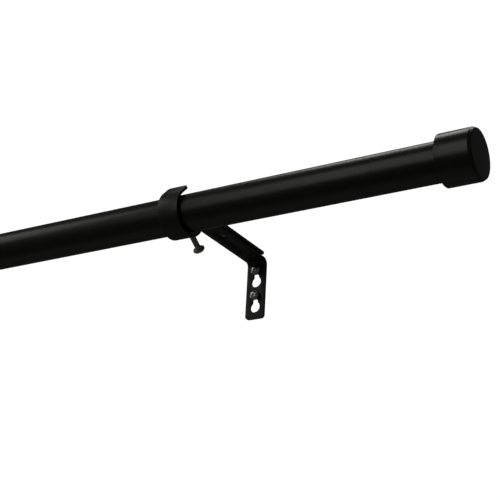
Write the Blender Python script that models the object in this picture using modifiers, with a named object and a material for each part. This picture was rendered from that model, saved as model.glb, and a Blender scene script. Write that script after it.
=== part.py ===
"""Telescoping curtain rod with flat end caps, held by two adjustable wall brackets.

Frame: metres, +Z up, X along the rod, the wall at Y = 0 and the room on its -Y side.
The origin is on the back face of the right wall plate, between its two keyholes.

The rod is a 25.4 mm tube with a 22.2 mm tube sliding in it. Each bracket is an L-shaped wall
plate with a ribbed leg, and a strap that slides on the leg and curls round the rod as an open
hook. A lock screw holds the projection, and a set screw in the hook holds the rod.
"""

import math

import bmesh
import bpy
from mathutils import Matrix, Vector

MM = 0.001
GAP = 0.3 * MM  # clearance kept between neighbouring pieces

# Rod
OUTER_RADIUS = 12.7 * MM
OUTER_WALL = 1.0 * MM
INNER_RADIUS = 11.1 * MM
INNER_WALL = 0.9 * MM
OUTER_TUBE_LENGTH = 710 * MM
INNER_TUBE_LENGTH = 690 * MM
TUBE_OVERLAP = 445 * MM

# Rod axis, seen from the origin
WALL_TO_ROD = 101.4 * MM
ROD_HEIGHT = 17.3 * MM

# End caps
CAP_RADIUS = 16.5 * MM
CAP_LENGTH = 23.1 * MM
CAP_WALL = 1.2 * MM
CAP_EDGE = 0.4 * MM
CAP_FROM_BRACKET = 185.4 * MM  # bracket's middle to the cap's mouth
LINER_LENGTH = 18.5 * MM

# Brackets
BRACKET_SPACING = 544 * MM
STRAP_HALF_WIDTH = 7.5 * MM
STRAP_THICKNESS = 2.0 * MM
STRAP_EDGE = 0.3 * MM
LEG_HEIGHT = 4.96 * MM  # middle of the wall plate's leg above the rod axis
PLATE_DROP = 39.3 * MM  # rod axis down to the plate's lower end
PLATE_BEND = 4.0 * MM
LEG_END = 67.4 * MM  # the leg's room end, from the wall
RIB_HEIGHT = 1.5 * MM
RIB_FLAT = 2.6 * MM
RIB_FOOT = 3.8 * MM
RIB_ROOM_END = 56.6 * MM
RIB_FADE_START = 14.0 * MM
RIB_FADE_END = 24.0 * MM

# Hook of the cradle arm
HOOK_RADIUS = 15.3 * MM  # to the middle of the strap
HOOK_RISE = 0.3 * MM  # the hook's centre above the rod axis
HOOK_BACK_ANGLE = 33.0  # degrees below level where the strap leaves the hook
HOOK_TURN = 190.7
LIP_LENGTH = 9.2 * MM
ARM_BEND = 8.0 * MM
ARM_WALL_GAP = 4.7 * MM  # wall to the strap's squared end

# Keyholes
KEYHOLE_RADIUS = 4.0 * MM
KEYHOLE_SLOT = 2.75 * MM
KEYHOLE_RISE = 8.5 * MM
KEYHOLE_DROPS = {"upper": 11.3 * MM, "lower": 30.5 * MM}  # below the rod axis

# Fasteners
WALL_SCREW = {"head": 3.5, "height": 2.3, "shank": 1.75, "length": 12.7, "point": 3.0}
SET_SCREW = {"head": 4.0, "height": 2.6, "shank": 2.0, "length": 14.8, "point": 0.5}
LOCK_SCREW = {"head": 4.0, "height": 2.4, "shank": 2.0, "length": 5.6, "point": 0.4}
THREAD_HOLE = 2.3 * MM
LOCK_FROM_WALL = 48.0 * MM
LOCK_TRAVEL = 25.0 * MM
WASHER_RADIUS = 4.6 * MM
WASHER_THICKNESS = 1.0 * MM

TUBE_SIDES = 48
SCREW_SIDES = 20

ROD_AXIS = Vector((0.0, -WALL_TO_ROD, ROD_HEIGHT))
BRACKETS = {"right": 0.0, "left": -BRACKET_SPACING}


def clear_scene():
    for item in list(bpy.data.objects):
        bpy.data.objects.remove(item, do_unlink=True)


def new_collection(name):
    collection = bpy.data.collections.new(name)
    bpy.context.scene.collection.children.link(collection)
    return collection


def surface(name, colour, roughness, metallic):
    material = bpy.data.materials.new(name)
    material.use_nodes = True
    shader = material.node_tree.nodes["Principled BSDF"]
    shader.inputs["Base Color"].default_value = (*colour, 1.0)
    shader.inputs["Roughness"].default_value = roughness
    shader.inputs["Metallic"].default_value = metallic
    material.diffuse_color = (*colour, 1.0)
    return material


def add_part(name, mesh, material, matrix=None):
    part = bpy.data.objects.new(name, mesh)
    mesh.materials.clear()
    mesh.materials.append(material)
    PARTS.objects.link(part)
    if matrix is not None:
        part.matrix_world = matrix
    return part


def frame_along(point, direction):
    """A matrix with its origin at point and its local Z along direction."""
    turn = Vector(direction).to_track_quat("Z", "Y").to_matrix().to_4x4()
    return Matrix.Translation(point) @ turn


def shade(mesh, angle=35.0):
    mesh.shade_smooth()
    mesh.set_sharp_from_angle(angle=math.radians(angle))


# Turned pieces


def turned(name, profile, sides, material, matrix, closed=False):
    """Spin a profile of (radius, height) pairs round local Z. A closed profile makes a ring."""
    mesh = bpy.data.meshes.new(name)
    points = [(radius, 0.0, height) for radius, height in profile]
    edges = [(i, i + 1) for i in range(len(points) - 1)]
    if closed:
        edges.append((len(points) - 1, 0))
    mesh.from_pydata(points, edges, [])
    part = add_part(name, mesh, material, matrix)
    spin = part.modifiers.new("Spin", "SCREW")
    spin.steps = sides
    spin.render_steps = sides
    spin.use_merge_vertices = True
    spin.merge_threshold = 0.00001
    spin.use_smooth_shade = True
    return part


def ring_profile(inner, outer, low, high):
    return [(outer, high), (outer, low), (inner, low), (inner, high)]


def tube_piece(name, inner, outer, x_low, x_high, material):
    matrix = frame_along(ROD_AXIS + Vector((x_low, 0, 0)), (1, 0, 0))
    profile = ring_profile(inner, outer, 0.0, x_high - x_low)
    return turned(name, profile, TUBE_SIDES, material, matrix, closed=True)


def end_cap(name, mouth_x, direction, material):
    """A metal cup with a flat face, its mouth towards the bracket."""
    matrix = frame_along(ROD_AXIS + Vector((mouth_x, 0, 0)), (direction, 0, 0))
    bore = CAP_RADIUS - CAP_WALL
    profile = [
        (0.0, CAP_LENGTH),
        (CAP_RADIUS - CAP_EDGE, CAP_LENGTH),
        (CAP_RADIUS, CAP_LENGTH - CAP_EDGE),
        (CAP_RADIUS, 0.0),
        (bore, 0.0),
        (bore, CAP_LENGTH - CAP_WALL),
        (0.0, CAP_LENGTH - CAP_WALL),
    ]
    return turned(name, profile, 64, material, matrix)


def cap_liner(name, mouth_x, direction, tube_radius, material):
    """The plastic sleeve that grips the tube inside the cap."""
    start = ROD_AXIS + Vector((mouth_x + direction * 1.0 * MM, 0, 0))
    outer = CAP_RADIUS - CAP_WALL - GAP
    profile = ring_profile(tube_radius + GAP, outer, 0.0, LINER_LENGTH)
    matrix = frame_along(start, (direction, 0, 0))
    return turned(name, profile, TUBE_SIDES, material, matrix, closed=True)


def tube_collar(name, mouth_x, material):
    """An L-section plastic ring over the outer tube's mouth, which guides the inner tube."""
    sleeve_length = 8.0 * MM
    flange = 2.5 * MM
    skin = 0.8 * MM
    outer = OUTER_RADIUS + GAP + skin
    profile = [
        (outer, sleeve_length),
        (outer, -GAP - flange + 0.5 * MM),
        (outer - 0.5 * MM, -GAP - flange),
        (INNER_RADIUS + GAP, -GAP - flange),
        (INNER_RADIUS + GAP, -GAP),
        (OUTER_RADIUS + GAP, -GAP),
        (OUTER_RADIUS + GAP, sleeve_length),
    ]
    matrix = frame_along(ROD_AXIS + Vector((mouth_x, 0, 0)), (1, 0, 0))
    return turned(name, profile, TUBE_SIDES, material, matrix, closed=True)


def tube_end_plug(name, end_x, material):
    """The plug in the inner tube's hidden end, with a flange that centres it in the outer tube."""
    flange = 3.0 * MM
    body = 12.0 * MM
    bore = 6.0 * MM
    flange_radius = OUTER_RADIUS - OUTER_WALL - GAP
    body_radius = INNER_RADIUS - INNER_WALL - GAP
    profile = [
        (flange_radius, GAP + flange),
        (flange_radius, GAP),
        (body_radius, GAP),
        (body_radius, -body),
        (bore, -body),
        (bore, GAP + flange),
    ]
    matrix = frame_along(ROD_AXIS + Vector((end_x, 0, 0)), (1, 0, 0))
    return turned(name, profile, TUBE_SIDES, material, matrix, closed=True)


# Screws


def pan_screw(name, size, material, matrix):
    """A pan-head screw: its head's seat is at the origin, and its shank runs down local -Z."""
    head = size["head"] * MM
    height = size["height"] * MM
    shank = size["shank"] * MM
    length = size["length"] * MM
    point = size["point"] * MM
    rim = 0.35 * height
    profile = [(0.0, height)]
    for step in range(1, 6):
        angle = math.radians(18 * step)
        profile.append((head * math.sin(angle), rim + (height - rim) * math.cos(angle)))
    profile += [
        (head, 0.0),
        (shank, 0.0),
        (shank, point - length),
        (0.25 * shank if size is WALL_SCREW else 0.8 * shank, -length),
        (0.0, -length),
    ]
    return turned(name, profile, SCREW_SIDES, material, matrix)


# Bent straps


def add_cutter(name, mesh, matrix):
    cutter = bpy.data.objects.new(name, mesh)
    CUTTERS.objects.link(cutter)
    cutter.matrix_world = matrix
    cutter.hide_render = True
    cutter.display_type = "WIRE"
    return cutter


def cut(part, cutter):
    boolean = part.modifiers.new(cutter.name, "BOOLEAN")
    boolean.operation = "DIFFERENCE"
    boolean.solver = "MANIFOLD"  # the exact solver loses faces on pieces this small
    boolean.object = cutter


def outline_cutter(name, outline, depth, matrix):
    """A closed outline in local XY, grown to both sides by half the depth."""
    curve = bpy.data.curves.new(name, "CURVE")
    curve.dimensions = "2D"
    curve.fill_mode = "BOTH"
    curve.extrude = depth / 2
    spline = curve.splines.new("POLY")
    spline.points.add(len(outline) - 1)
    for point, (x, y) in zip(spline.points, outline):
        point.co = (x, y, 0.0, 1.0)
    spline.use_cyclic_u = True
    source = bpy.data.objects.new(name + "_outline", curve)
    CUTTERS.objects.link(source)
    depsgraph = bpy.context.evaluated_depsgraph_get()
    mesh = bpy.data.meshes.new_from_object(source.evaluated_get(depsgraph))
    bpy.data.objects.remove(source, do_unlink=True)
    build = bmesh.new()
    build.from_mesh(mesh)
    bmesh.ops.remove_doubles(build, verts=build.verts[:], dist=0.000001)
    bmesh.ops.recalc_face_normals(build, faces=build.faces[:])
    build.to_mesh(mesh)
    build.free()
    return add_cutter(name, mesh, matrix)


def arc_points(centre, radius, start, end, steps):
    cx, cy = centre
    points = []
    for step in range(steps + 1):
        angle = math.radians(start + (end - start) * step / steps)
        points.append((cx + radius * math.cos(angle), cy + radius * math.sin(angle)))
    return points


def keyhole_outline():
    meet = math.degrees(math.acos(KEYHOLE_SLOT / KEYHOLE_RADIUS))
    outline = arc_points((0, 0), KEYHOLE_RADIUS, 180 - meet, 360 + meet, 24)
    return outline + arc_points((0, KEYHOLE_RISE), KEYHOLE_SLOT, 0, 180, 12)


def slot_outline(radius, length):
    outline = arc_points((0, 0), radius, 180, 360, 10)
    return outline + arc_points((0, length), radius, 0, 180, 10)


def round_hole(part, name, matrix):
    cut(part, outline_cutter(name, arc_points((0, 0), THREAD_HOLE, 0, 345, 23), 12 * MM, matrix))


def trace(start, heading, moves):
    """Stations (y, z, heading) along a path of straight runs and arcs in the YZ plane.

    A move is (length, turn in degrees, steps). An arc turns evenly over its length.
    """
    y, z = start
    stations = [(y, z, heading)]
    for length, turn, steps in moves:
        for _ in range(steps):
            half = heading + turn / steps / 2
            bow = math.radians(abs(turn) / steps / 2)
            chord = length / steps * (math.sin(bow) / bow if bow else 1.0)
            y += chord * math.cos(math.radians(half))
            z += chord * math.sin(math.radians(half))
            heading += turn / steps
            stations.append((y, z, heading))
    return stations


def arc_move(radius, turn, steps):
    return (radius * math.radians(abs(turn)), turn, steps)


def corner_moves(radius, steps, leaving):
    """Short straight moves over a rounded corner, closest together at the strap's end."""
    reach = [radius * (1 - math.cos(math.radians(90 * k / steps))) for k in range(steps + 1)]
    lengths = [b - a for a, b in zip(reach, reach[1:])]
    if not leaving:
        lengths.reverse()
    return [(length, 0.0, 1) for length in lengths]


def corner_width(distance, radius):
    """Half the strap's width at a distance from an end with rounded corners."""
    if distance >= radius:
        return STRAP_HALF_WIDTH
    return STRAP_HALF_WIDTH - radius + math.sqrt(max(radius**2 - (radius - distance) ** 2, 0.0))


def strap(name, stations, start_corner, end_corner, columns, lift, material, x):
    """A bent strap from a grid, with rounded corners and a pressed rib, given its thickness."""
    run = [0.0]
    for (y0, z0, _), (y1, z1, _) in zip(stations, stations[1:]):
        run.append(run[-1] + math.hypot(y1 - y0, z1 - z0))
    mesh = bpy.data.meshes.new(name)
    build = bmesh.new()
    bmesh.ops.create_grid(build, x_segments=len(columns) - 1, y_segments=len(stations) - 1, size=0.5)
    for vert in build.verts:
        column = columns[round((vert.co.x + 0.5) * (len(columns) - 1))]
        row = round((vert.co.y + 0.5) * (len(stations) - 1))
        y, z, heading = stations[row]
        half = min(corner_width(run[row], start_corner), corner_width(run[-1] - run[row], end_corner))
        across = column * half / STRAP_HALF_WIDTH
        raised = lift(across, y)
        normal = math.radians(heading - 90)
        vert.co = (across, y + raised * math.cos(normal), z + raised * math.sin(normal))
    bmesh.ops.recalc_face_normals(build, faces=build.faces[:])
    build.to_mesh(mesh)
    build.free()
    part = add_part(name, mesh, material, Matrix.Translation((x, 0, 0)))
    solid = part.modifiers.new("Sheet", "SOLIDIFY")
    solid.thickness = STRAP_THICKNESS
    solid.offset = 0.0
    solid.use_even_offset = True
    edge = part.modifiers.new("Edges", "BEVEL")
    edge.width = STRAP_EDGE
    edge.segments = 1
    edge.limit_method = "ANGLE"
    edge.angle_limit = math.radians(60)
    shade(mesh)
    return part


def smooth_step(value):
    value = min(max(value, 0.0), 1.0)
    return value * value * (3 - 2 * value)


def rib_lift(across, y):
    """Height of the leg's pressed rib: a flat-topped bead, round at its room end."""
    past_end = max(-y - RIB_ROOM_END, 0.0)
    away = math.hypot(across, past_end)
    bead = smooth_step((RIB_FOOT - away) / (RIB_FOOT - RIB_FLAT))
    fade = smooth_step((-y - RIB_FADE_START) / (RIB_FADE_END - RIB_FADE_START))
    return RIB_HEIGHT * bead * fade


def no_lift(across, y):
    return 0.0


def wall_plate(name, x, material):
    """The L-shaped plate: screwed to the wall, with a ribbed leg that carries the arm."""
    corner = 2.5 * MM
    leg_corner = 3.0 * MM
    middle = STRAP_THICKNESS / 2
    bottom = ROD_HEIGHT - PLATE_DROP
    leg = ROD_HEIGHT + LEG_HEIGHT
    after_bend = middle + PLATE_BEND
    rib_steps = 8
    moves = corner_moves(corner, 5, leaving=True)
    moves.append((leg - PLATE_BEND - bottom - corner, 0.0, 1))
    moves.append(arc_move(PLATE_BEND, 90.0, 8))
    moves.append((RIB_FADE_START - after_bend, 0.0, 1))
    moves.append((RIB_FADE_END - RIB_FADE_START, 0.0, 5))
    moves.append((RIB_ROOM_END - RIB_FADE_END, 0.0, 1))
    moves.append((RIB_FOOT, 0.0, rib_steps))
    moves.append((LEG_END - leg_corner - RIB_ROOM_END - RIB_FOOT, 0.0, 1))
    moves += corner_moves(leg_corner, 5, leaving=False)
    stations = trace((-middle, bottom), 90.0, moves)
    ramp = [RIB_FLAT + (RIB_FOOT - RIB_FLAT) * k / 3 for k in range(4)]
    half = [0.4 * RIB_FLAT, *ramp, STRAP_HALF_WIDTH]
    columns = [-c for c in reversed(half)] + half
    plate = strap(name, stations, corner, leg_corner, columns, rib_lift, material, x)
    face_on = Matrix.Rotation(math.radians(90), 4, "X")
    for level, drop in KEYHOLE_DROPS.items():
        place = Matrix.Translation((x, 0, ROD_HEIGHT - drop)) @ face_on
        cut(plate, outline_cutter(f"{name}_{level}_keyhole", keyhole_outline(), 8 * MM, place))
    tapped = Matrix.Translation((x, -LOCK_FROM_WALL, leg + RIB_HEIGHT))
    round_hole(plate, name + "_tapped_hole", tapped)
    return plate


def hook_centre():
    return Vector((0.0, -WALL_TO_ROD, ROD_HEIGHT + HOOK_RISE))


def arm_height():
    """Middle of the cradle arm's strap, which lies on the leg's rib."""
    return ROD_HEIGHT + LEG_HEIGHT + RIB_HEIGHT + GAP + STRAP_THICKNESS


def set_screw_direction():
    angle = math.radians(-HOOK_BACK_ANGLE)
    return Vector((0.0, math.cos(angle), math.sin(angle)))


def cradle_arm(name, x, material):
    """The sliding strap: a slotted arm, a bend down behind the rod, and the open hook."""
    centre = hook_centre()
    climb = 90.0 - HOOK_BACK_ANGLE
    slope = math.radians(climb)
    leave = centre + HOOK_RADIUS * set_screw_direction()
    bend_rise = ARM_BEND * (1 - math.cos(slope))
    back_length = (arm_height() - bend_rise - leave.z) / math.sin(slope)
    bend_y = leave.y + back_length * math.cos(slope) + ARM_BEND * math.sin(slope)
    lip_corner = 2.2 * MM
    square_corner = 0.6 * MM
    moves = corner_moves(square_corner, 2, leaving=True)
    moves.append((-ARM_WALL_GAP - bend_y - square_corner, 0.0, 1))
    moves.append(arc_move(ARM_BEND, climb, 8))
    moves.append((back_length, 0.0, 1))
    moves.append(arc_move(HOOK_RADIUS, -HOOK_TURN, 32))
    moves.append((LIP_LENGTH - lip_corner, 0.0, 1))
    moves += corner_moves(lip_corner, 5, leaving=False)
    stations = trace((-ARM_WALL_GAP, arm_height()), 180.0, moves)
    columns = [-STRAP_HALF_WIDTH, STRAP_HALF_WIDTH]
    arm = strap(name, stations, square_corner, lip_corner, columns, no_lift, material, x)
    slot_place = Matrix.Translation((x, -LOCK_FROM_WALL, arm_height()))
    slot = outline_cutter(name + "_slot", slot_outline(THREAD_HOLE, LOCK_TRAVEL), 6 * MM, slot_place)
    cut(arm, slot)
    screw_place = centre + HOOK_RADIUS * set_screw_direction() + Vector((x, 0, 0))
    hole = outline_cutter(
        name + "_tapped_hole",
        arc_points((0, 0), THREAD_HOLE, 0, 345, 23),
        6 * MM,
        frame_along(screw_place, set_screw_direction()),
    )
    cut(arm, hole)
    return arm


def set_screw(name, x, tube_radius, material):
    """The screw from below that pins the rod in the hook: its tip stops just off the tube."""
    direction = set_screw_direction()
    along = HOOK_RISE * math.sin(math.radians(HOOK_BACK_ANGLE))
    tip = hook_centre() + Vector((x, 0, 0)) + direction * (along + tube_radius + GAP)
    seat = tip + direction * SET_SCREW["length"] * MM
    return pan_screw(name, SET_SCREW, material, frame_along(seat, direction))


def lock_screw(name, x, material):
    """The screw from above that clamps the arm to the leg through the slot and washer."""
    seat = arm_height() + STRAP_THICKNESS / 2 + 2 * GAP + WASHER_THICKNESS
    matrix = Matrix.Translation((x, -LOCK_FROM_WALL, seat))
    return pan_screw(name, LOCK_SCREW, material, matrix)


def lock_washer(name, x, material):
    base = arm_height() + STRAP_THICKNESS / 2 + GAP
    matrix = Matrix.Translation((x, -LOCK_FROM_WALL, base))
    profile = ring_profile(THREAD_HOLE, WASHER_RADIUS, 0.0, WASHER_THICKNESS)
    return turned(name, profile, 28, material, matrix, closed=True)


def wall_screw(name, x, drop, material):
    """A wall screw seated at the top of its keyhole's slot."""
    seat = Vector((x, -STRAP_THICKNESS - GAP, ROD_HEIGHT - drop + KEYHOLE_RISE))
    return pan_screw(name, WALL_SCREW, material, frame_along(seat, (0, -1, 0)))


def build_bracket(side, x, tube_radius, coat, zinc):
    wall_plate(side + "_wall_plate", x, coat)
    cradle_arm(side + "_cradle_arm", x, coat)
    set_screw(side + "_rod_set_screw", x, tube_radius, zinc)
    lock_screw(side + "_projection_lock_screw", x, zinc)
    lock_washer(side + "_lock_washer", x, zinc)
    for level, drop in KEYHOLE_DROPS.items():
        wall_screw(f"{side}_{level}_wall_screw", x, drop, zinc)


def build_rod(coat, plastic, nylon):
    cap_inset = 20.0 * MM  # how far a tube runs into its cap
    right_end = CAP_FROM_BRACKET + cap_inset
    outer_mouth = right_end - OUTER_TUBE_LENGTH
    inner_right = outer_mouth + TUBE_OVERLAP
    inner_left = inner_right - INNER_TUBE_LENGTH
    left_cap = inner_left + cap_inset
    outer_bore = OUTER_RADIUS - OUTER_WALL
    inner_bore = INNER_RADIUS - INNER_WALL
    tube_piece("outer_tube", outer_bore, OUTER_RADIUS, outer_mouth, right_end, coat)
    tube_piece("inner_tube", inner_bore, INNER_RADIUS, inner_left, inner_right, coat)
    tube_collar("tube_collar", outer_mouth, plastic)
    tube_end_plug("inner_tube_end_plug", inner_right, nylon)
    end_cap("right_end_cap", CAP_FROM_BRACKET, 1, coat)
    end_cap("left_end_cap", left_cap, -1, coat)
    cap_liner("right_cap_liner", CAP_FROM_BRACKET, 1, OUTER_RADIUS, plastic)
    cap_liner("left_cap_liner", left_cap, -1, INNER_RADIUS, plastic)


clear_scene()
PARTS = new_collection("curtain_rod_with_brackets")
CUTTERS = new_collection("cutters")
black_coat = surface("black_powder_coat", (0.012, 0.012, 0.011), 0.42, 0.0)
zinc_plate = surface("zinc_plated_steel", (0.30, 0.30, 0.29), 0.35, 1.0)
black_plastic = surface("black_plastic", (0.015, 0.015, 0.015), 0.5, 0.0)
white_nylon = surface("white_nylon", (0.75, 0.75, 0.72), 0.45, 0.0)
build_rod(black_coat, black_plastic, white_nylon)
build_bracket("right", BRACKETS["right"], OUTER_RADIUS, black_coat, zinc_plate)
build_bracket("left", BRACKETS["left"], INNER_RADIUS, black_coat, zinc_plate)
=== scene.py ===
import math

import bmesh
import bpy
from mathutils import Matrix, Vector


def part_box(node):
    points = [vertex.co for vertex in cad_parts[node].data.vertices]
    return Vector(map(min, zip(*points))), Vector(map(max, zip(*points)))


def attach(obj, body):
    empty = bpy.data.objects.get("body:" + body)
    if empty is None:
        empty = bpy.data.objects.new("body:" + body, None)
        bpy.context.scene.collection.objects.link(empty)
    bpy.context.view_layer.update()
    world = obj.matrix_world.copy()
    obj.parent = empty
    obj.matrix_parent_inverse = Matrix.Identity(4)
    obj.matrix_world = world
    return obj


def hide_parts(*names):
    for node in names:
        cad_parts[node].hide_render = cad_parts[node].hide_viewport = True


# A curtain rod with brackets: the finished surface of each piece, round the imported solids.
# Shapes are drawn in millimetres and placed in metres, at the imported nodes' own boxes.

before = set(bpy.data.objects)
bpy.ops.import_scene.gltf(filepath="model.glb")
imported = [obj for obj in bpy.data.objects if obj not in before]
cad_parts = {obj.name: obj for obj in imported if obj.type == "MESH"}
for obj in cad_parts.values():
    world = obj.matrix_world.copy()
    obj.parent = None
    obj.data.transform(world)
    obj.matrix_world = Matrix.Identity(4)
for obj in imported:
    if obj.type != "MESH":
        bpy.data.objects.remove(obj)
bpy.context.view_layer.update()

MM = 0.001

# Rod and caps
OUTER_WALL = 1.0
INNER_WALL = 0.9
CAP_WALL = 1.2
CAP_BEVEL = 2.2
CAP_BEVEL_IN = 1.0
COLLAR_FLANGE = 2.5
PLUG_FLANGE = 3.0
PLUG_HOLE = 6.0
GAP = 0.3
TUBE_SEGMENTS = 128
SLEEVE_SEGMENTS = 96

# Straps
HALF_WIDTH = 7.5
THICKNESS = 2.0
EDGE_ROUND = 0.35
LEG_ABOVE_AXIS = 4.96
PLATE_BEND = 4.0
RIB_HEIGHT = 1.5
RIB_FLAT = 2.6
RIB_FOOT = 3.8
RIB_ROOM_END = 56.6
RIB_FADE_START = 14.0
RIB_FADE_END = 24.0
PLATE_CORNER = 2.5
LEG_CORNER = 3.0

# Hook
HOOK_RADIUS = 15.3
HOOK_RISE = 0.3
HOOK_BACK_ANGLE = 33.0
HOOK_TURN = 190.7
LIP_LENGTH = 9.2
LIP_CORNER = 2.2
ARM_CORNER = 0.6
ARM_BEND = 8.0

# Holes
KEYHOLE_RADIUS = 4.0
KEYHOLE_SLOT = 2.35
KEYHOLE_RISE = 8.5
KEYHOLE_DROPS = {"upper": 11.3, "lower": 30.5}
THREAD_HOLE = 2.3
LOCK_FROM_WALL = 48.0
LOCK_TRAVEL = 25.0

# Screws, in millimetres
WALL_HEAD_SEAT = 2.3
WALL_SCREW = dict(
    head=3.55, height=3.1, outer=1.75, core=1.28, length=12.7, pitch=1.3, point=3.0, tip=0.18
)
SET_SCREW = dict(
    head=4.0, height=2.6, outer=2.0, core=1.62, length=14.8, pitch=0.7, point=0.5, tip=0.8
)
LOCK_SCREW = dict(
    head=4.0, height=2.4, outer=2.0, core=1.62, length=5.6, pitch=0.7, point=0.4, tip=0.8
)
WALL_SCREW_TURNS = {"upper": 25, "lower": 58}
SET_SCREW_TURN = 20
LOCK_SCREW_TURN = 35
NECK = 0.5
ROWS_PER_PITCH = 9
SCREW_SEGMENTS = 48

# Camera
CAMERA_PLACE = (0.444409, -0.733570, -0.329087)
CAMERA_AZIMUTH = 31.6404
CAMERA_ELEVATION = -22.7839
CAMERA_ROLL = 3.0419
CAMERA_LENS = 92.399
CAMERA_SENSOR = 36.0

# Studio, in metres and watts
LIGHT_COLOUR = (1.0, 0.995, 0.92)
FLOOR_RADIUS = 6.0
FLOOR_HEIGHT = -1.6


# Mesh helpers


def evaluated(obj):
    """The mesh that an object's modifiers make. The object is removed."""
    bpy.context.view_layer.update()
    depsgraph = bpy.context.evaluated_depsgraph_get()
    mesh = bpy.data.meshes.new_from_object(obj.evaluated_get(depsgraph))
    bpy.data.objects.remove(obj, do_unlink=True)
    return mesh


def temporary(name, mesh, matrix=None):
    obj = bpy.data.objects.new(name, mesh)
    bpy.context.scene.collection.objects.link(obj)
    if matrix is not None:
        obj.matrix_world = matrix
    return obj


def meshed(build, name):
    mesh = bpy.data.meshes.new(name)
    build.to_mesh(mesh)
    build.free()
    return mesh


def smooth(mesh, angle=32.0):
    mesh.shade_smooth()
    mesh.set_sharp_from_angle(angle=math.radians(angle))


def show(name, mesh, material, matrix, body, node):
    """Puts a mesh drawn in millimetres in place, on a body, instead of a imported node."""
    mesh.transform(Matrix.Scale(MM, 4))
    mesh.name = name
    mesh.materials.clear()
    mesh.materials.append(material)
    piece = bpy.data.objects.new(name, mesh)
    bpy.context.scene.collection.objects.link(piece)
    piece.matrix_world = matrix
    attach(piece, body)
    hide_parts(node)


def along(point, direction):
    """A matrix with its origin at point and its local Z along direction."""
    turn = Vector(direction).to_track_quat("Z", "Y").to_matrix().to_4x4()
    return Matrix.Translation(point) @ turn


def filleted(corners, closed=False, steps=5):
    """The points of a path whose corners (x, y, radius) are rounded off."""
    points = []
    last = len(corners) - 1
    for i, (x, y, radius) in enumerate(corners):
        if radius <= 0 or (not closed and i in (0, last)):
            points.append((x, y))
            continue
        corner = Vector((x, y))
        back = (Vector(corners[i - 1][:2]) - corner).normalized()
        ahead = (Vector(corners[(i + 1) % len(corners)][:2]) - corner).normalized()
        half = back.angle(ahead) / 2
        centre = corner + (back + ahead).normalized() * (radius / math.sin(half))
        first = corner + back * (radius / math.tan(half)) - centre
        final = corner + ahead * (radius / math.tan(half)) - centre
        sweep = first.angle(final)
        for k in range(steps + 1):
            a = math.sin((1 - k / steps) * sweep) / math.sin(sweep)
            b = math.sin(k / steps * sweep) / math.sin(sweep)
            points.append(tuple(centre + first * a + final * b))
    return points


def lathe(rows, segments, closed=False):
    """A surface turned round local Z from (radius, height) rows. A radius may vary with angle."""
    build = bmesh.new()
    rings = []
    for radius, height in rows:
        if not callable(radius) and radius == 0:
            rings.append([build.verts.new((0, 0, height))])
            continue
        ring = []
        for k in range(segments):
            angle = 2 * math.pi * k / segments
            r = radius(angle) if callable(radius) else radius
            ring.append(build.verts.new((r * math.cos(angle), r * math.sin(angle), height)))
        rings.append(ring)
    pairs = list(zip(rings, rings[1:]))
    if closed:
        pairs.append((rings[-1], rings[0]))
    for a, b in pairs:
        for k in range(segments):
            n = (k + 1) % segments
            corners = [a[k % len(a)], a[n % len(a)], b[n % len(b)], b[k % len(b)]]
            build.faces.new(list(dict.fromkeys(corners)))
    bmesh.ops.recalc_face_normals(build, faces=build.faces[:])
    mesh = meshed(build, "lathe")
    smooth(mesh)
    return mesh


def ring(inner, outer, length, fillet):
    """The section of a plain ring that stands on height 0."""
    corners = [
        (outer, length, fillet),
        (outer, 0.0, fillet),
        (inner, 0.0, fillet),
        (inner, length, fillet),
    ]
    return filleted(corners, closed=True, steps=4)


def arc(centre, radius, start, end, steps):
    cx, cy = centre
    angles = [math.radians(start + (end - start) * k / steps) for k in range(steps + 1)]
    return [(cx + radius * math.cos(a), cy + radius * math.sin(a)) for a in angles]


def prism(outline, depth, taper=1.0):
    """A closed outline in XY grown to both sides of Z = 0, its lower end scaled by taper."""
    build = bmesh.new()
    high = [build.verts.new((x, y, depth / 2)) for x, y in outline]
    low = [build.verts.new((x * taper, y * taper, -depth / 2)) for x, y in outline]
    build.faces.new(high)
    build.faces.new(low)
    for k in range(len(outline)):
        n = (k + 1) % len(outline)
        build.faces.new([high[k], high[n], low[n], low[k]])
    bmesh.ops.recalc_face_normals(build, faces=build.faces[:])
    return meshed(build, "prism")


def subtract(obj, cutters):
    for cutter in cutters:
        boolean = obj.modifiers.new(cutter.name, "BOOLEAN")
        boolean.operation = "DIFFERENCE"
        boolean.solver = "MANIFOLD"
        boolean.object = cutter


def cut_and_round(blank, cutters, width, segments):
    """Takes the cutters out of a blank and rounds its edges. The cutters are removed."""
    subtract(blank, cutters)
    edge = blank.modifiers.new("Edges", "BEVEL")
    edge.width = width
    edge.segments = segments
    edge.limit_method = "ANGLE"
    edge.angle_limit = math.radians(50)
    done = evaluated(blank)
    for cutter in cutters:
        bpy.data.objects.remove(cutter, do_unlink=True)
    smooth(done, 40)
    return done


# Materials


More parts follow.
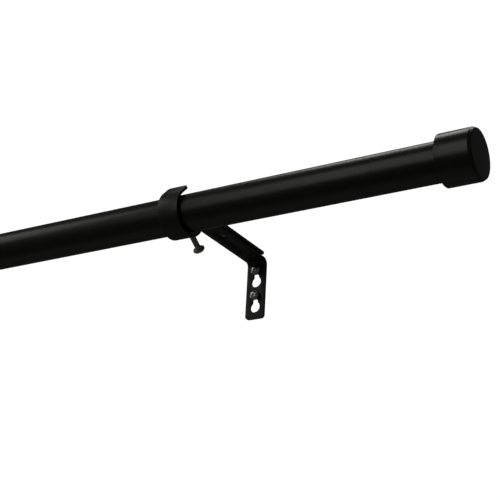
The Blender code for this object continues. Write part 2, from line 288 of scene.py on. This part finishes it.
class Surface:
    """A Principled material whose colour, roughness and relief come from noise."""

    def __init__(self, name):
        self.material = bpy.data.materials.new(name)
        self.material.use_nodes = True
        self.tree = self.material.node_tree
        self.shader = self.tree.nodes["Principled BSDF"]
        self.place = self.tree.nodes.new("ShaderNodeTexCoord").outputs["Object"]

    def link(self, start, end):
        self.tree.links.new(start, end)

    def stretched(self, scale):
        mapping = self.tree.nodes.new("ShaderNodeMapping")
        mapping.inputs["Scale"].default_value = scale
        self.link(self.place, mapping.inputs["Vector"])
        return mapping.outputs["Vector"]

    def noise(self, size_mm, detail=3.0, roughness=0.5, place=None):
        node = self.tree.nodes.new("ShaderNodeTexNoise")
        node.inputs["Scale"].default_value = 1000.0 / size_mm
        node.inputs["Detail"].default_value = detail
        node.inputs["Roughness"].default_value = roughness
        self.link(place or self.place, node.inputs["Vector"])
        return node.outputs["Fac"]

    def ranged(self, value, low, high, start=0.3, end=0.7):
        node = self.tree.nodes.new("ShaderNodeMapRange")
        node.inputs["From Min"].default_value = start
        node.inputs["From Max"].default_value = end
        node.inputs["To Min"].default_value = low
        node.inputs["To Max"].default_value = high
        self.link(value, node.inputs["Value"])
        return node.outputs["Result"]

    def colours(self, value, stops):
        node = self.tree.nodes.new("ShaderNodeValToRGB")
        ramp = node.color_ramp
        ramp.elements[0].position, ramp.elements[0].color = stops[0][0], (*stops[0][1], 1.0)
        ramp.elements[1].position, ramp.elements[1].color = stops[-1][0], (*stops[-1][1], 1.0)
        for position, colour in stops[1:-1]:
            ramp.elements.new(position).color = (*colour, 1.0)
        self.link(value, node.inputs["Fac"])
        return node.outputs["Color"]

    def relief(self, value, strength, height_mm, under=None):
        node = self.tree.nodes.new("ShaderNodeBump")
        node.inputs["Strength"].default_value = strength
        node.inputs["Distance"].default_value = height_mm * MM
        self.link(value, node.inputs["Height"])
        if under is not None:
            self.link(under, node.inputs["Normal"])
        return node.outputs["Normal"]

    def finish(self, colour, roughness, normal, **fixed):
        self.link(colour, self.shader.inputs["Base Color"])
        self.link(roughness, self.shader.inputs["Roughness"])
        self.link(normal, self.shader.inputs["Normal"])
        for name, value in fixed.items():
            self.shader.inputs[name.replace("_", " ")].default_value = value
        return self.material


def powder_coat(name, smooth_end, rough_end, peel):
    """Satin black paint: faint orange peel, slightly uneven gloss, a few dust specks."""
    s = Surface(name)
    tone = s.noise(9.0, detail=4.0)
    dark, light = (0.0065, 0.0065, 0.0058), (0.0095, 0.0095, 0.0085)
    colour = s.colours(tone, [(0.3, dark), (0.7, light)])
    gloss = s.ranged(s.noise(14.0, detail=5.0, roughness=0.6), smooth_end, rough_end)
    skin = s.relief(s.noise(0.9, detail=2.0), peel, 0.02)
    specks = s.ranged(s.noise(0.35, detail=1.0), 0.0, 1.0, start=0.66, end=0.74)
    normal = s.relief(specks, peel * 0.6, 0.015, under=skin)
    return s.finish(colour, gloss, normal, Metallic=0.0, IOR=1.5)


def zinc_plate(name):
    """Zinc-plated steel: fine turning marks, cloudy tone and a trace of yellow passivation."""
    s = Surface(name)
    cloud = s.noise(1.6, detail=4.0, roughness=0.6)
    colour = s.colours(
        cloud,
        [(0.25, (0.42, 0.41, 0.37)), (0.5, (0.55, 0.55, 0.53)), (0.78, (0.62, 0.62, 0.62))],
    )
    marks = s.noise(0.25, detail=2.0, place=s.stretched((1.0, 1.0, 6.0)))
    gloss = s.ranged(marks, 0.2, 0.36)
    normal = s.relief(marks, 0.12, 0.01)
    return s.finish(colour, gloss, normal, Metallic=1.0)


def moulded(name, dark, light, smooth_end, rough_end, grain):
    """Moulded plastic with a fine spark-eroded texture."""
    s = Surface(name)
    colour = s.colours(s.noise(3.0, detail=3.0), [(0.3, dark), (0.7, light)])
    gloss = s.ranged(s.noise(2.2, detail=4.0), smooth_end, rough_end)
    normal = s.relief(s.noise(0.22, detail=3.0, roughness=0.6), grain, 0.02)
    return s.finish(colour, gloss, normal, Metallic=0.0)


# Turned pieces


def axis_of(node):
    low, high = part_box(node)
    return (low + high) / 2


def round_piece(node):
    """The radius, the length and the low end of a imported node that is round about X."""
    low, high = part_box(node)
    centre = axis_of(node)
    matrix = along(Vector((low.x, centre.y, centre.z)), (1, 0, 0))
    return (high.z - low.z) / 2 / MM, (high.x - low.x) / MM, matrix


def tube(name, node, wall, material, body):
    radius, length, matrix = round_piece(node)
    mesh = lathe(ring(radius - wall, radius, length, 0.22), TUBE_SEGMENTS, closed=True)
    show(name, mesh, material, matrix, body, node)


def end_cap(side, direction, material):
    """A metal cup with a bevelled flat face, its other edges rounded."""
    node = side + "_end_cap"
    radius, length, _ = round_piece(node)
    low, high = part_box(node)
    mouth = low.x if direction > 0 else high.x
    centre = axis_of(node)
    bore = radius - CAP_WALL
    corners = [
        (0.0, length, 0.0),
        (radius - CAP_BEVEL_IN, length, 0.5),
        (radius, length - CAP_BEVEL, 0.5),
        (radius, 0.0, 0.4),
        (bore, 0.0, 0.3),
        (bore, length - CAP_WALL, 0.6),
        (0.0, length - CAP_WALL, 0.0),
    ]
    mesh = lathe(filleted(corners, steps=8), TUBE_SEGMENTS)
    matrix = along(Vector((mouth, centre.y, centre.z)), (direction, 0, 0))
    show(side + "_cap_shell", mesh, material, matrix, side + "_cap", node)


def liner(side, tube_radius, material):
    """The plastic ring that grips the tube inside a cap."""
    node = side + "_cap_liner"
    outer, length, matrix = round_piece(node)
    mesh = lathe(ring(tube_radius + GAP, outer, length, 0.4), SLEEVE_SEGMENTS, closed=True)
    show(side + "_liner_ring", mesh, material, matrix, side + "_cap", node)


def collar(material, tube_radius, inner_radius):
    """The guide ring on the outer tube's mouth: a sleeve with an inward flange."""
    outer, length, matrix = round_piece("tube_collar")
    corners = [
        (outer, length, 0.3),
        (outer, 0.0, 0.5),
        (inner_radius + GAP, 0.0, 0.3),
        (inner_radius + GAP, COLLAR_FLANGE, 0.1),
        (tube_radius + GAP, COLLAR_FLANGE, 0.1),
        (tube_radius + GAP, length, 0.2),
    ]
    mesh = lathe(filleted(corners, closed=True, steps=4), TUBE_SEGMENTS, closed=True)
    show("collar_ring", mesh, material, matrix, "rod", "tube_collar")


def end_plug(material, flange_radius, tube_bore):
    """The nylon plug: a flange that rides in the outer tube, and a body in the inner one."""
    node = "inner_tube_end_plug"
    _, length, matrix = round_piece(node)
    corners = [
        (flange_radius, length, 0.4),
        (flange_radius, length - PLUG_FLANGE, 0.4),
        (tube_bore - GAP, length - PLUG_FLANGE, 0.1),
        (tube_bore - GAP, 0.0, 0.6),
        (PLUG_HOLE, 0.0, 0.3),
        (PLUG_HOLE, length, 0.3),
    ]
    mesh = lathe(filleted(corners, closed=True, steps=4), SLEEVE_SEGMENTS, closed=True)
    show("plug_ring", mesh, material, matrix, "inner_rod", node)


# Screws


def thread(size, height, fade):
    """The shank's radius by angle at one height: a helical ridge with flat crests."""

    def radius(angle):
        turn = (height / size["pitch"] - angle / (2 * math.pi)) % 1.0
        ridge = min(max(1.35 - 3.0 * abs(turn - 0.5), 0.0), 1.0)
        return (size["core"] + (size["outer"] - size["core"]) * ridge) * fade

    return radius


def screw_rows(size):
    """Rows of a pan-head screw, from the middle of its head to its tip, seat at height 0."""
    head, height = size["head"], size["height"]
    rows = [(0.0, height)]
    rim = 0.35 * height
    for k in range(1, 15):
        angle = math.radians(90 * k / 14)
        rows.append((head * math.sin(angle) ** 0.82, rim + (height - rim) * math.cos(angle)))
    rows += [(head, 0.14 * height), (head - 0.12, 0.0), (size["outer"] * 1.04, 0.0)]
    length = size["length"]
    count = max(int((length - NECK) / size["pitch"] * ROWS_PER_PITCH), 8)
    for k in range(count + 1):
        depth = NECK + (length - NECK) * k / count
        left = length - depth
        fade = 1.0
        if left < size["point"]:
            fade = size["tip"] + (1 - size["tip"]) * left / size["point"]
        rows.append((thread(size, -depth, fade), -depth))
    rows.append((0.0, -length))
    return rows


def recess(size):
    """The cross recess's cutter: a plus that narrows towards its bottom."""
    reach, wing = 0.56 * size["head"], 0.15 * size["head"]
    outline = []
    x, y = 1, 0
    for _ in range(4):
        for out, across in ((reach, -wing), (reach, wing), (wing, wing)):
            outline.append((out * x - across * y, out * y + across * x))
        x, y = -y, x
    depth = 0.62 * size["height"]
    cutter = prism(outline, 2 * depth, taper=0.4)
    return temporary("recess", cutter, Matrix.Translation((0, 0, size["height"] + 0.1)))


def pan_screw(name, node, size, matrix, turn, material, body):
    """A threaded screw with a cross recess, turned about its own axis."""
    blank = temporary("blank", lathe(screw_rows(size), SCREW_SEGMENTS))
    mesh = cut_and_round(blank, [recess(size)], 0.07, 2)
    spun = matrix @ Matrix.Rotation(math.radians(turn), 4, "Z")
    show(name, mesh, material, spun, body, node)


# Straps


def trace(start, heading, moves):
    """Stations (y, z, heading) along a path of runs and arcs: (length, turn, steps)."""
    y, z = start
    stations = [(y, z, heading)]
    for length, turn, steps in moves:
        for _ in range(steps):
            half = heading + turn / steps / 2
            bow = math.radians(abs(turn) / steps / 2)
            chord = length / steps * (math.sin(bow) / bow if bow else 1.0)
            y += chord * math.cos(math.radians(half))
            z += chord * math.sin(math.radians(half))
            heading += turn / steps
            stations.append((y, z, heading))
    return stations


def arc_move(radius, turn, steps):
    return (radius * math.radians(abs(turn)), turn, steps)


def corner_moves(radius, steps, leaving):
    """Straight moves across an end's rounded corners, shortest where the width changes most."""
    reach = [radius * (1 - math.cos(math.radians(90 * k / steps))) for k in range(steps + 1)]
    lengths = [b - a for a, b in zip(reach, reach[1:])]
    if not leaving:
        lengths.reverse()
    return [(length, 0.0, 1) for length in lengths]


def corner_width(distance, radius):
    """Half the strap's width at a distance from an end with rounded corners."""
    if distance >= radius:
        return HALF_WIDTH
    return HALF_WIDTH - radius + math.sqrt(max(radius**2 - (radius - distance) ** 2, 0.0))


def smooth_step(value):
    value = min(max(value, 0.0), 1.0)
    return value * value * (3 - 2 * value)


def rib_lift(across, y):
    """Height of the leg's pressed bead, flat-topped and round at its room end."""
    away = math.hypot(across, max(-y - RIB_ROOM_END, 0.0))
    bead = smooth_step((RIB_FOOT - away) / (RIB_FOOT - RIB_FLAT))
    fade = smooth_step((-y - RIB_FADE_START) / (RIB_FADE_END - RIB_FADE_START))
    return RIB_HEIGHT * bead * fade


def no_lift(across, y):
    return 0.0


def strap(stations, start_corner, end_corner, columns, lift, cutters):
    """A bent strap in millimetres: a grid given thickness, then punched, then its edges rounded."""
    run = [0.0]
    for (y0, z0, _), (y1, z1, _) in zip(stations, stations[1:]):
        run.append(run[-1] + math.hypot(y1 - y0, z1 - z0))
    build = bmesh.new()
    grid = []
    for row, (y, z, heading) in enumerate(stations):
        half = min(
            corner_width(run[row], start_corner),
            corner_width(run[-1] - run[row], end_corner),
        )
        normal = math.radians(heading - 90)
        line = []
        for column in columns:
            across = column * half / HALF_WIDTH
            raised = lift(across, y)
            place = (across, y + raised * math.cos(normal), z + raised * math.sin(normal))
            line.append(build.verts.new(place))
        grid.append(line)
    for a, b in zip(grid, grid[1:]):
        for k in range(len(columns) - 1):
            build.faces.new([a[k], a[k + 1], b[k + 1], b[k]])
    bmesh.ops.recalc_face_normals(build, faces=build.faces[:])
    blank = temporary("strap", meshed(build, "strap"))
    sheet = blank.modifiers.new("Sheet", "SOLIDIFY")
    sheet.thickness = THICKNESS
    sheet.offset = 0.0
    sheet.use_even_offset = True
    return cut_and_round(blank, cutters, EDGE_ROUND, 3)


def punch(outline, depth, matrix):
    return temporary("punch", prism(outline, depth), matrix)


def round_hole(radius):
    return arc((0, 0), radius, 0, 350, 35)


def keyhole():
    """A keyhole's outline: a round hole for a screw's head, with a slot for its shank above."""
    meet = math.degrees(math.acos(KEYHOLE_SLOT / KEYHOLE_RADIUS))
    outline = arc((0, 0), KEYHOLE_RADIUS, 180 - meet, 360 + meet, 40)
    return outline + arc((0, KEYHOLE_RISE), KEYHOLE_SLOT, 0, 180, 24)


def wall_plate(side, x, axis_height, material):
    """The L-shaped plate screwed to the wall, its leg stiffened by a pressed bead."""
    node = side + "_wall_plate"
    low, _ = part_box(node)
    middle = THICKNESS / 2
    bottom = low.z / MM
    leg = axis_height + LEG_ABOVE_AXIS
    leg_end = -low.y / MM
    moves = corner_moves(PLATE_CORNER, 8, leaving=True)
    moves.append((leg - PLATE_BEND - bottom - PLATE_CORNER, 0.0, 1))
    moves.append(arc_move(PLATE_BEND, 90.0, 18))
    moves.append((RIB_FADE_START - middle - PLATE_BEND, 0.0, 1))
    moves.append((RIB_FADE_END - RIB_FADE_START, 0.0, 12))
    moves.append((RIB_ROOM_END - RIB_FADE_END, 0.0, 6))
    moves.append((RIB_FOOT, 0.0, 16))
    moves.append((leg_end - LEG_CORNER - RIB_ROOM_END - RIB_FOOT, 0.0, 1))
    moves += corner_moves(LEG_CORNER, 8, leaving=False)
    stations = trace((-middle, bottom), 90.0, moves)
    ramp = [RIB_FLAT + (RIB_FOOT - RIB_FLAT) * k / 9 for k in range(10)]
    half = [0.4 * RIB_FLAT, *ramp, HALF_WIDTH]
    columns = [-c for c in reversed(half)] + half
    face_on = Matrix.Rotation(math.radians(90), 4, "X")
    cutters = []
    for drop in KEYHOLE_DROPS.values():
        place = Matrix.Translation((0, 0, axis_height - drop)) @ face_on
        cutters.append(punch(keyhole(), 8.0, place))
    tapped = Matrix.Translation((0, -LOCK_FROM_WALL, leg + RIB_HEIGHT))
    cutters.append(punch(round_hole(THREAD_HOLE), 12.0, tapped))
    mesh = strap(stations, PLATE_CORNER, LEG_CORNER, columns, rib_lift, cutters)
    matrix = Matrix.Translation((x, 0, 0))
    show(side + "_plate_steel", mesh, material, matrix, "wall_brackets", node)


def screw_direction():
    """The set screw's axis, from the rod's axis towards the screw's head."""
    angle = math.radians(-HOOK_BACK_ANGLE)
    return Vector((0.0, math.cos(angle), math.sin(angle)))


def cradle_arm(side, x, axis, material):
    """The slotted arm, its bend down behind the rod, and the open hook with its lip."""
    node = side + "_cradle_arm"
    _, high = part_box(node)
    top = high.y / MM
    centre = Vector((0.0, axis.y / MM, axis.z / MM + HOOK_RISE))
    height = axis.z / MM + LEG_ABOVE_AXIS + RIB_HEIGHT + GAP + THICKNESS
    climb = 90.0 - HOOK_BACK_ANGLE
    slope = math.radians(climb)
    leave = centre + HOOK_RADIUS * screw_direction()
    back = (height - ARM_BEND * (1 - math.cos(slope)) - leave.z) / math.sin(slope)
    bend_y = leave.y + back * math.cos(slope) + ARM_BEND * math.sin(slope)
    moves = corner_moves(ARM_CORNER, 3, leaving=True)
    moves.append((top - bend_y - ARM_CORNER, 0.0, 1))
    moves.append(arc_move(ARM_BEND, climb, 20))
    moves.append((back, 0.0, 1))
    moves.append(arc_move(HOOK_RADIUS, -HOOK_TURN, 96))
    moves.append((LIP_LENGTH - LIP_CORNER, 0.0, 1))
    moves += corner_moves(LIP_CORNER, 8, leaving=False)
    stations = trace((top, height), 180.0, moves)
    outline = arc((0, 0), THREAD_HOLE, 180, 360, 20)
    outline += arc((0, LOCK_TRAVEL), THREAD_HOLE, 0, 180, 20)
    slot = punch(outline, 6.0, Matrix.Translation((0, -LOCK_FROM_WALL, height)))
    seat = along(leave, screw_direction())
    tapped = punch(round_hole(THREAD_HOLE), 6.0, seat)
    columns = [-HALF_WIDTH, HALF_WIDTH]
    mesh = strap(stations, ARM_CORNER, LIP_CORNER, columns, no_lift, [slot, tapped])
    matrix = Matrix.Translation((x, 0, 0))
    show(side + "_arm_steel", mesh, material, matrix, side + "_arm", node)


def set_screw(side, x, axis, tube_radius, material):
    """The screw from below and behind that pins the rod, its tip just off the tube."""
    direction = screw_direction()
    rise = HOOK_RISE * math.sin(math.radians(HOOK_BACK_ANGLE))
    out = rise + tube_radius + GAP + SET_SCREW["length"]
    reach = (HOOK_RISE * Vector((0, 0, 1)) + direction * out) * MM
    seat = along(Vector((x, axis.y, axis.z)) + reach, direction)
    name, node = side + "_set_screw_steel", side + "_rod_set_screw"
    pan_screw(name, node, SET_SCREW, seat, SET_SCREW_TURN, material, side + "_set")


def lock_screw(side, x, material):
    """The screw and washer that hold the arm's slot down on the plate's leg."""
    body = side + "_lock"
    node = side + "_lock_washer"
    low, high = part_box(node)
    base = Matrix.Translation((x, (low.y + high.y) / 2, low.z))
    outer = (high.y - low.y) / 2 / MM
    mesh = lathe(ring(THREAD_HOLE, outer, (high.z - low.z) / MM, 0.15), 64, closed=True)
    show(side + "_washer_steel", mesh, material, base, body, node)
    name, node = side + "_lock_screw_steel", side + "_projection_lock_screw"
    _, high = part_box(node)
    seat = Matrix.Translation((x, -LOCK_FROM_WALL * MM, high.z - LOCK_SCREW["height"] * MM))
    pan_screw(name, node, LOCK_SCREW, seat, LOCK_SCREW_TURN, material, body)


def wall_screw(side, level, x, material):
    """A screw at the top of a keyhole's slot. Its thread would be in the wall."""
    name, node = f"{side}_{level}_screw_steel", f"{side}_{level}_wall_screw"
    low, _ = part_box(node)
    seat = Vector((x, low.y + WALL_HEAD_SEAT * MM, axis_of(node).z))
    turn = WALL_SCREW_TURNS[level]
    pan_screw(name, node, WALL_SCREW, along(seat, (0, -1, 0)), turn, material, "wall_brackets")


def bracket(side, axis, tube_radius, coat, zinc):
    x = axis_of(side + "_wall_plate").x
    wall_plate(side, x, axis.z / MM, coat)
    cradle_arm(side, x, axis, coat)
    set_screw(side, x, axis, tube_radius, zinc)
    lock_screw(side, x, zinc)
    for level in WALL_SCREW_TURNS:
        wall_screw(side, level, x, zinc)


# Camera, lights and floor


def add_camera():
    """The photograph's view: from the room, below the rod and to its right."""
    azimuth, elevation, roll = map(math.radians, (CAMERA_AZIMUTH, CAMERA_ELEVATION, CAMERA_ROLL))
    back = Vector((
        math.sin(azimuth) * math.cos(elevation),
        -math.cos(azimuth) * math.cos(elevation),
        math.sin(elevation),
    ))
    right = (-back).cross(Vector((0, 0, 1))).normalized()
    up = right.cross(-back)
    turned_right = right * math.cos(roll) + up * math.sin(roll)
    turned_up = up * math.cos(roll) - right * math.sin(roll)
    data = bpy.data.cameras.new("camera")
    data.sensor_width = CAMERA_SENSOR
    data.lens = CAMERA_LENS
    data.clip_start = 0.01
    camera = bpy.data.objects.new("camera", data)
    bpy.context.scene.collection.objects.link(camera)
    facing = Matrix((turned_right, turned_up, back)).transposed().to_4x4()
    camera.matrix_world = Matrix.Translation(CAMERA_PLACE) @ facing
    bpy.context.scene.camera = camera


def area_light(name, place, target, width, height, power):
    data = bpy.data.lights.new(name, "AREA")
    data.shape = "RECTANGLE"
    data.size = width
    data.size_y = height
    data.energy = power
    data.color = LIGHT_COLOUR
    light = bpy.data.objects.new(name, data)
    bpy.context.scene.collection.objects.link(light)
    light.location = place
    light.rotation_euler = (Vector(target) - Vector(place)).to_track_quat("-Z", "Y").to_euler()
    light.visible_camera = False


def studio():
    """A bright backdrop that only the eye sees, and soft boxes that light the object."""
    world = bpy.data.worlds.new("studio")
    bpy.context.scene.world = world
    world.use_nodes = True
    tree = world.node_tree
    dim = tree.nodes["Background"]
    dim.inputs["Color"].default_value = (1.0, 1.0, 0.97, 1.0)
    dim.inputs["Strength"].default_value = 0.04
    bright = tree.nodes.new("ShaderNodeBackground")
    bright.inputs["Color"].default_value = (1.0, 1.0, 1.0, 1.0)
    bright.inputs["Strength"].default_value = 1.05
    rays = tree.nodes.new("ShaderNodeLightPath")
    mix = tree.nodes.new("ShaderNodeMixShader")
    tree.links.new(rays.outputs["Is Camera Ray"], mix.inputs["Fac"])
    tree.links.new(dim.outputs["Background"], mix.inputs[1])
    tree.links.new(bright.outputs["Background"], mix.inputs[2])
    tree.links.new(mix.outputs["Shader"], tree.nodes["World Output"].inputs["Surface"])
    bpy.context.scene.view_settings.view_transform = "Standard"

    area_light("front_box", (-0.15, -1.5, 0.5), (0.0, -0.1, 0.0), 1.0, 1.3, 3.4)
    area_light("side_box", (-1.25, -0.75, 0.95), (0.0, -0.1, 0.0), 1.0, 0.8, 2.4)
    area_light("left_box", (-2.2, -0.25, 0.1), (0.0, -0.1, 0.0), 0.6, 0.6, 1.6)
    area_light("low_box", (-0.3, 0.35, -1.4), (0.0, -0.1, 0.0), 2.4, 1.4, 0.6)
    area_light("top_box", (-0.1, 0.25, 1.3), (0.1, -0.1, 0.0), 0.8, 0.4, 2.8)


def floor():
    """A plain pale floor, well below a rod that hangs on a wall."""
    build = bmesh.new()
    bmesh.ops.create_circle(build, cap_ends=True, segments=96, radius=FLOOR_RADIUS)
    mesh = meshed(build, "floor")
    s = Surface("pale_floor")
    dark, light = (0.80, 0.80, 0.79), (0.84, 0.84, 0.83)
    colour = s.colours(s.noise(60.0, detail=4.0), [(0.3, dark), (0.7, light)])
    gloss = s.ranged(s.noise(25.0), 0.7, 0.85)
    normal = s.relief(s.noise(3.0), 0.05, 0.1)
    s.finish(colour, gloss, normal, Emission_Color=(1.0, 1.0, 1.0, 1.0), Emission_Strength=0.5)
    mesh.materials.append(s.material)
    ground = bpy.data.objects.new("floor", mesh)
    bpy.context.scene.collection.objects.link(ground)
    ground.location = (0.0, 0.0, FLOOR_HEIGHT)
    ground.visible_glossy = False
    ground.visible_diffuse = False


rod_coat = powder_coat("rod_coat", 0.30, 0.36, 0.05)
cap_coat = powder_coat("cap_coat", 0.27, 0.33, 0.04)
strap_coat = powder_coat("strap_coat", 0.40, 0.50, 0.10)
zinc = zinc_plate("zinc_plate")
black_plastic = moulded(
    "black_plastic", (0.010, 0.010, 0.010), (0.015, 0.015, 0.014), 0.42, 0.55, 0.15
)
nylon = moulded("white_nylon", (0.72, 0.72, 0.68), (0.78, 0.78, 0.75), 0.35, 0.45, 0.08)

outer_radius = round_piece("outer_tube")[0]
inner_radius = round_piece("inner_tube")[0]
rod_axis = axis_of("outer_tube")

tube("outer_tube_steel", "outer_tube", OUTER_WALL, rod_coat, "rod")
tube("inner_tube_steel", "inner_tube", INNER_WALL, rod_coat, "inner_rod")
end_cap("right", 1, cap_coat)
end_cap("left", -1, cap_coat)
liner("right", outer_radius, black_plastic)
liner("left", inner_radius, black_plastic)
collar(black_plastic, outer_radius, inner_radius)
end_plug(nylon, outer_radius - OUTER_WALL - GAP, inner_radius - INNER_WALL)
bracket("right", rod_axis, outer_radius, strap_coat, zinc)
bracket("left", rod_axis, inner_radius, strap_coat, zinc)

floor()
studio()
add_camera()
